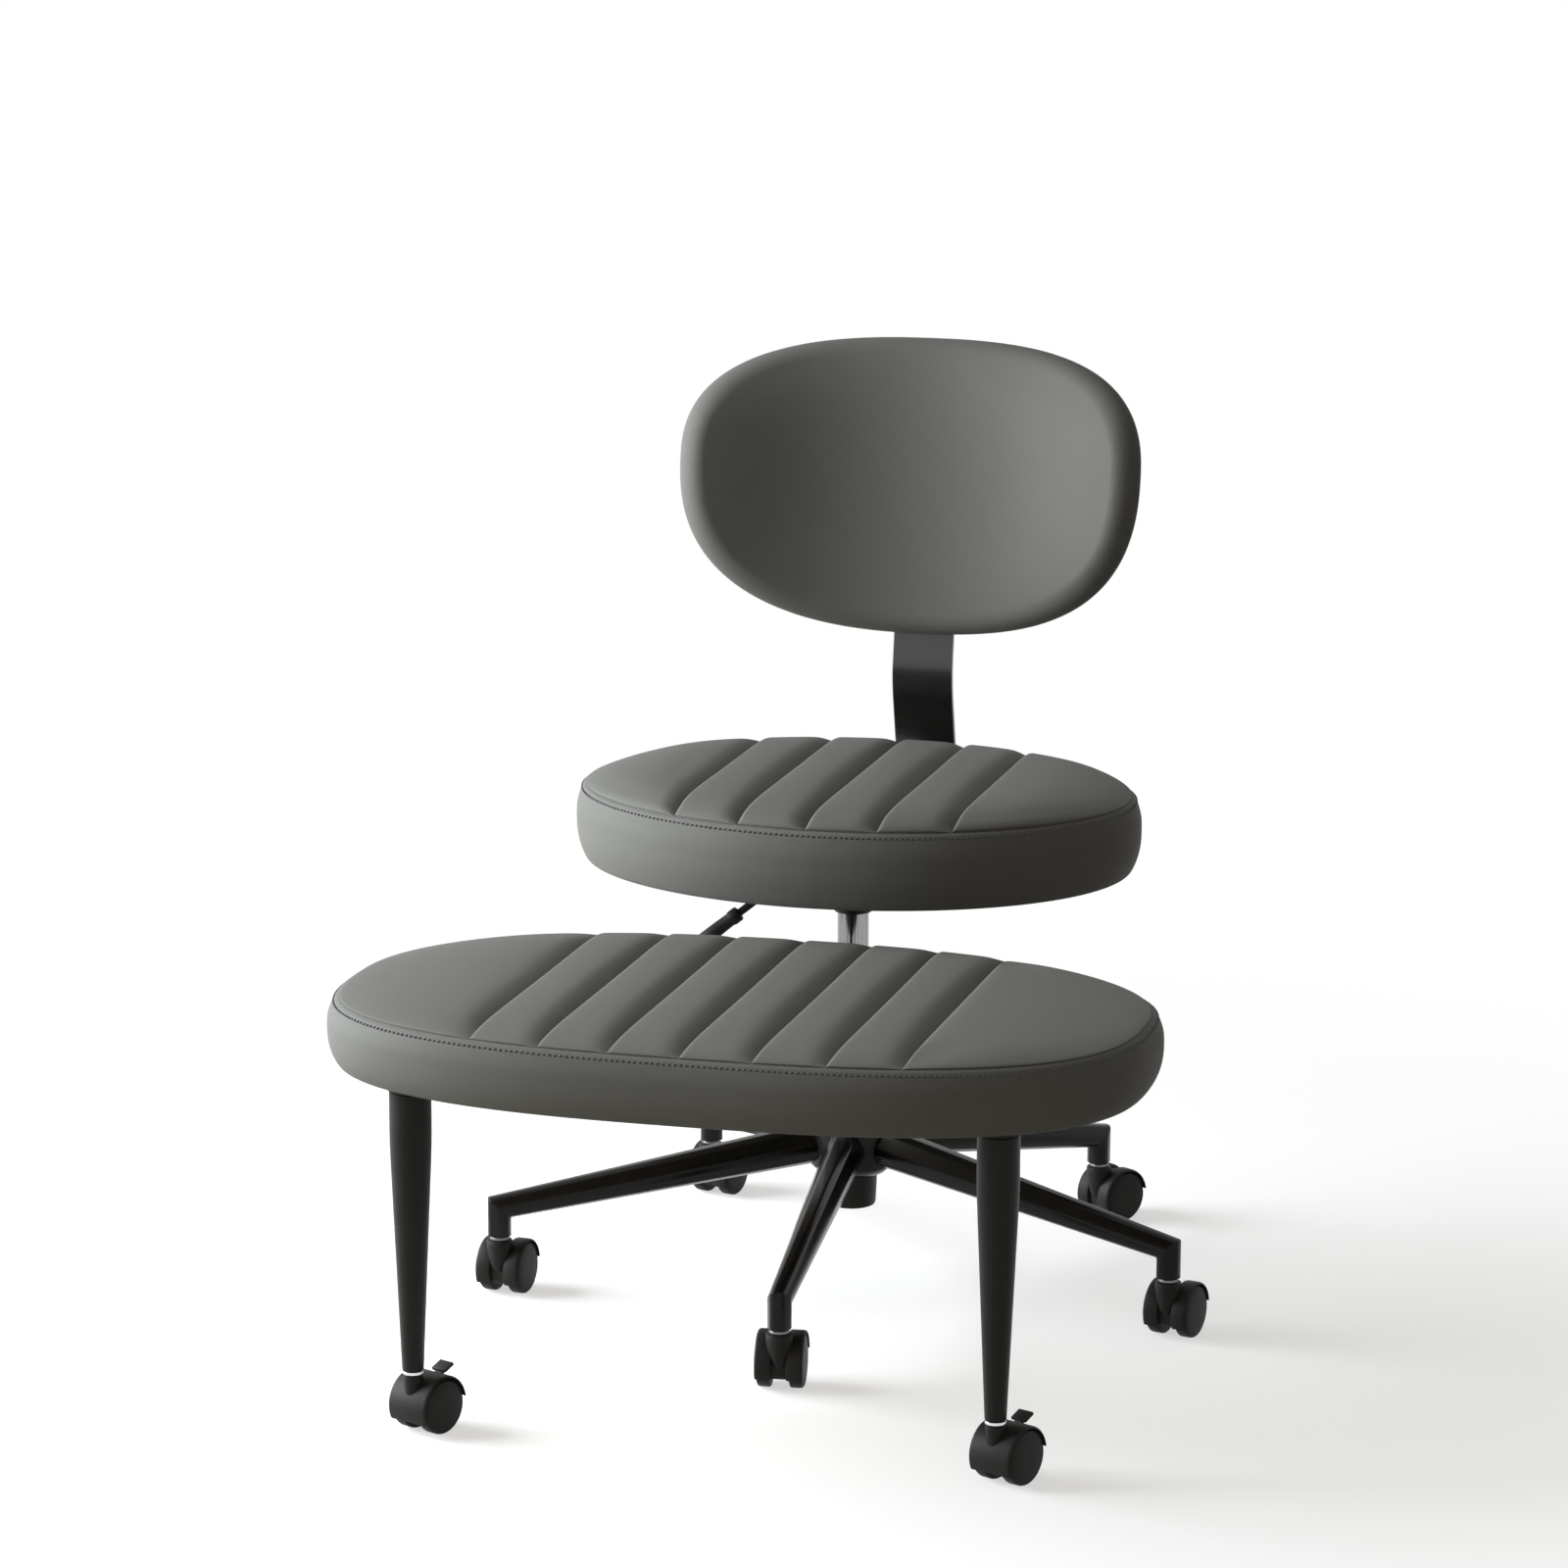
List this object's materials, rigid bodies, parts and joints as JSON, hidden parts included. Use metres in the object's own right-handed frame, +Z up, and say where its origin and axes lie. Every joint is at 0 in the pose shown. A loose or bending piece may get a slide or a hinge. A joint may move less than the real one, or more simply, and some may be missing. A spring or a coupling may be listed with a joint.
{
  "type": "swivel chair",
  "caption": "Swivel chair for sitting cross-legged: grey channelled seat and curved back on a gas lift and star base, with a wide foot pad that swings round the column",
  "frame": {"origin": "On the floor, under the middle of the whole chair's box", "axes": "+Z up, -Y is the way the sitter faces, +X is the sitter's left; the foot pad lies ahead at -Y"},
  "size_m": [0.7, 0.899, 0.8278],
  "materials": {
    "grey_cover": "fine grain, satin",
    "board_wood": "raw plywood",
    "black_steel": "satin black powder coat",
    "gloss_black_steel": "gloss black",
    "bright_steel": "polished",
    "zinc_steel": "zinc plated",
    "black_nylon": "matte moulded",
    "pale_plastic": "natural acetal"
  },
  "bodies": {
    "base": {"star_hub": "gloss_black_steel", "column_tube": "black_steel", "guide_bush": "pale_plastic", "star_arm_1": "gloss_black_steel", "star_arm_2": "gloss_black_steel", "star_arm_3": "gloss_black_steel", "star_arm_4": "gloss_black_steel", "star_arm_5": "gloss_black_steel", "star_stem_1": "zinc_steel", "star_stem_2": "zinc_steel", "star_stem_3": "zinc_steel", "star_stem_4": "zinc_steel", "star_stem_5": "zinc_steel"},
    "turning": {"piston_rod": "bright_steel"},
    "seat": {"lift_cylinder": "bright_steel", "taper_socket": "black_steel", "mechanism_box": "black_steel", "seat_plate": "black_steel", "seat_board": "board_wood", "seat_cushion": "grey_cover", "back_bar": "black_steel", "back_board": "black_nylon", "back_cushion": "grey_cover"},
    "lever": {"lever_rod": "black_steel", "lever_grip": "black_nylon"},
    "release": {"release_pin": "zinc_steel"},
    "footrest": {"foot_cushion": "grey_cover", "foot_board": "board_wood", "foot_arm": "black_steel", "foot_sleeve": "black_steel", "sleeve_liner": "pale_plastic", "leg_1": "black_steel", "leg_plate_1": "black_steel", "leg_stem_1": "zinc_steel", "leg_2": "black_steel", "leg_plate_2": "black_steel", "leg_stem_2": "zinc_steel"},
    "star_caster_1": {"star_caster_1_housing": "black_nylon"},
    "star_caster_1_wheel_a": {"star_caster_1_wheel_a": "black_nylon"},
    "star_caster_1_wheel_b": {"star_caster_1_wheel_b": "black_nylon"},
    "star_caster_2": {"star_caster_2_housing": "black_nylon"},
    "star_caster_2_wheel_a": {"star_caster_2_wheel_a": "black_nylon"},
    "star_caster_2_wheel_b": {"star_caster_2_wheel_b": "black_nylon"},
    "star_caster_3": {"star_caster_3_housing": "black_nylon"},
    "star_caster_3_wheel_a": {"star_caster_3_wheel_a": "black_nylon"},
    "star_caster_3_wheel_b": {"star_caster_3_wheel_b": "black_nylon"},
    "star_caster_4": {"star_caster_4_housing": "black_nylon"},
    "star_caster_4_wheel_a": {"star_caster_4_wheel_a": "black_nylon"},
    "star_caster_4_wheel_b": {"star_caster_4_wheel_b": "black_nylon"},
    "star_caster_5": {"star_caster_5_housing": "black_nylon"},
    "star_caster_5_wheel_a": {"star_caster_5_wheel_a": "black_nylon"},
    "star_caster_5_wheel_b": {"star_caster_5_wheel_b": "black_nylon"},
    "leg_caster_1": {"leg_caster_1_housing": "black_nylon"},
    "leg_caster_1_wheel_a": {"leg_caster_1_wheel_a": "black_nylon"},
    "leg_caster_1_wheel_b": {"leg_caster_1_wheel_b": "black_nylon"},
    "leg_caster_2": {"leg_caster_2_housing": "black_nylon"},
    "leg_caster_2_wheel_a": {"leg_caster_2_wheel_a": "black_nylon"},
    "leg_caster_2_wheel_b": {"leg_caster_2_wheel_b": "black_nylon"},
    "leg_caster_1_pedal": {"leg_caster_1_pedal": "black_nylon"},
    "leg_caster_2_pedal": {"leg_caster_2_pedal": "black_nylon"}
  },
  "joints": [
    {"name": "seat_swivel", "type": "hinge", "parent": "base", "child": "turning", "pos_m": [0, 0.13454, 0], "axis": [0, 0, 1], "continuous": true},
    {"name": "seat_lift", "type": "slide", "parent": "turning", "child": "seat", "axis": [0, 0, 1], "range_m": [-0.01, 0.09]},
    {"name": "lever_pull", "type": "hinge", "parent": "seat", "child": "lever", "pos_m": [-0.05045, 0.12196, 0.3857], "axis": [-0.2419, 0.9703, 0], "range_deg": [0, 4], "stiffness_Nm_per_rad": 1},
    {"name": "release_press", "type": "slide", "parent": "seat", "child": "release", "axis": [0, 0, -1], "range_m": [0, 0.00363]},
    {"name": "footrest_swing", "type": "hinge", "parent": "base", "child": "footrest", "pos_m": [0, 0.13454, 0], "axis": [0, 0, 1], "continuous": true},
    {"name": "star_caster_1_swivel_joint", "type": "hinge", "parent": "base", "child": "star_caster_1", "pos_m": [-0.29735, 0.0204, 0], "axis": [0, 0, 1], "continuous": true},
    {"name": "star_caster_1_wheel_a_roll", "type": "hinge", "parent": "star_caster_1", "child": "star_caster_1_wheel_a", "pos_m": [-0.3035, 0.03879, 0.0233], "axis": [-0.9925, 0.1219, 0], "continuous": true},
    {"name": "star_caster_1_wheel_b_roll", "type": "hinge", "parent": "star_caster_1", "child": "star_caster_1_wheel_b", "pos_m": [-0.28692, 0.03675, 0.0233], "axis": [-0.9925, 0.1219, 0], "continuous": true},
    {"name": "star_caster_2_swivel_joint", "type": "hinge", "parent": "base", "child": "star_caster_2", "pos_m": [0.01667, -0.18352, 0], "axis": [0, 0, 1], "continuous": true},
    {"name": "star_caster_2_wheel_a_roll", "type": "hinge", "parent": "star_caster_2", "child": "star_caster_2_wheel_a", "pos_m": [0.00625, -0.16717, 0.0233], "axis": [-0.9925, -0.1219, 0], "continuous": true},
    {"name": "star_caster_2_wheel_b_roll", "type": "hinge", "parent": "star_caster_2", "child": "star_caster_2_wheel_b", "pos_m": [0.02282, -0.16514, 0.0233], "axis": [-0.9925, -0.1219, 0], "continuous": true},
    {"name": "star_caster_3_swivel_joint", "type": "hinge", "parent": "base", "child": "star_caster_3", "pos_m": [0.30765, 0.05211, 0], "axis": [0, 0, 1], "continuous": true},
    {"name": "star_caster_3_wheel_a_roll", "type": "hinge", "parent": "star_caster_3", "child": "star_caster_3_wheel_a", "pos_m": [0.30378, 0.07111, 0.0233], "axis": [-0.9703, 0.2419, 0], "continuous": true},
    {"name": "star_caster_3_wheel_b_roll", "type": "hinge", "parent": "star_caster_3", "child": "star_caster_3_wheel_b", "pos_m": [0.31998, 0.06707, 0.0233], "axis": [-0.9703, 0.2419, 0], "continuous": true},
    {"name": "star_caster_4_swivel_joint", "type": "hinge", "parent": "base", "child": "star_caster_4", "pos_m": [0.17347, 0.40166, 0], "axis": [0, 0, 1], "continuous": true},
    {"name": "star_caster_4_wheel_a_roll", "type": "hinge", "parent": "star_caster_4", "child": "star_caster_4_wheel_a", "pos_m": [0.17633, 0.42083, 0.0233], "axis": [-0.829, 0.5592, 0], "continuous": true},
    {"name": "star_caster_4_wheel_b_roll", "type": "hinge", "parent": "star_caster_4", "child": "star_caster_4_wheel_b", "pos_m": [0.19018, 0.4115, 0.0233], "axis": [-0.829, 0.5592, 0], "continuous": true},
    {"name": "star_caster_5_swivel_joint", "type": "hinge", "parent": "base", "child": "star_caster_5", "pos_m": [-0.20044, 0.38206, 0], "axis": [0, 0, 1], "continuous": true},
    {"name": "star_caster_5_wheel_a_roll", "type": "hinge", "parent": "star_caster_5", "child": "star_caster_5_wheel_a", "pos_m": [-0.20464, 0.40099, 0.0233], "axis": [-0.9744, 0.225, 0], "continuous": true},
    {"name": "star_caster_5_wheel_b_roll", "type": "hinge", "parent": "star_caster_5", "child": "star_caster_5_wheel_b", "pos_m": [-0.18837, 0.39723, 0.0233], "axis": [-0.9744, 0.225, 0], "continuous": true},
    {"name": "leg_caster_1_swivel_joint", "type": "hinge", "parent": "footrest", "child": "leg_caster_1", "pos_m": [-0.248, -0.37346, 0], "axis": [0, 0, 1], "continuous": true},
    {"name": "leg_caster_1_wheel_a_roll", "type": "hinge", "parent": "leg_caster_1", "child": "leg_caster_1_wheel_a", "pos_m": [-0.24851, -0.35408, 0.0233], "axis": [-0.9135, 0.4067, 0], "continuous": true},
    {"name": "leg_caster_1_wheel_b_roll", "type": "hinge", "parent": "leg_caster_1", "child": "leg_caster_1_wheel_b", "pos_m": [-0.23325, -0.36087, 0.0233], "axis": [-0.9135, 0.4067, 0], "continuous": true},
    {"name": "leg_caster_2_swivel_joint", "type": "hinge", "parent": "footrest", "child": "leg_caster_2", "pos_m": [0.248, -0.37346, 0], "axis": [0, 0, 1], "continuous": true},
    {"name": "leg_caster_2_wheel_a_roll", "type": "hinge", "parent": "leg_caster_2", "child": "leg_caster_2_wheel_a", "pos_m": [0.24749, -0.35408, 0.0233], "axis": [-0.9135, 0.4067, 0], "continuous": true},
    {"name": "leg_caster_2_wheel_b_roll", "type": "hinge", "parent": "leg_caster_2", "child": "leg_caster_2_wheel_b", "pos_m": [0.26275, -0.36087, 0.0233], "axis": [-0.9135, 0.4067, 0], "continuous": true},
    {"name": "leg_caster_1_brake_press", "type": "hinge", "parent": "leg_caster_1", "child": "leg_caster_1_pedal", "pos_m": [-0.23559, -0.3456, 0.0419], "axis": [-0.9135, 0.4067, 0], "range_deg": [0, 12]},
    {"name": "leg_caster_2_brake_press", "type": "hinge", "parent": "leg_caster_2", "child": "leg_caster_2_pedal", "pos_m": [0.2604, -0.3456, 0.0419], "axis": [-0.9135, 0.4067, 0], "range_deg": [0, 12]}
  ],
  "couplings": [
    {"joint": "release_press", "follows": "lever_pull", "m_per_rad": 0.052}
  ]
}
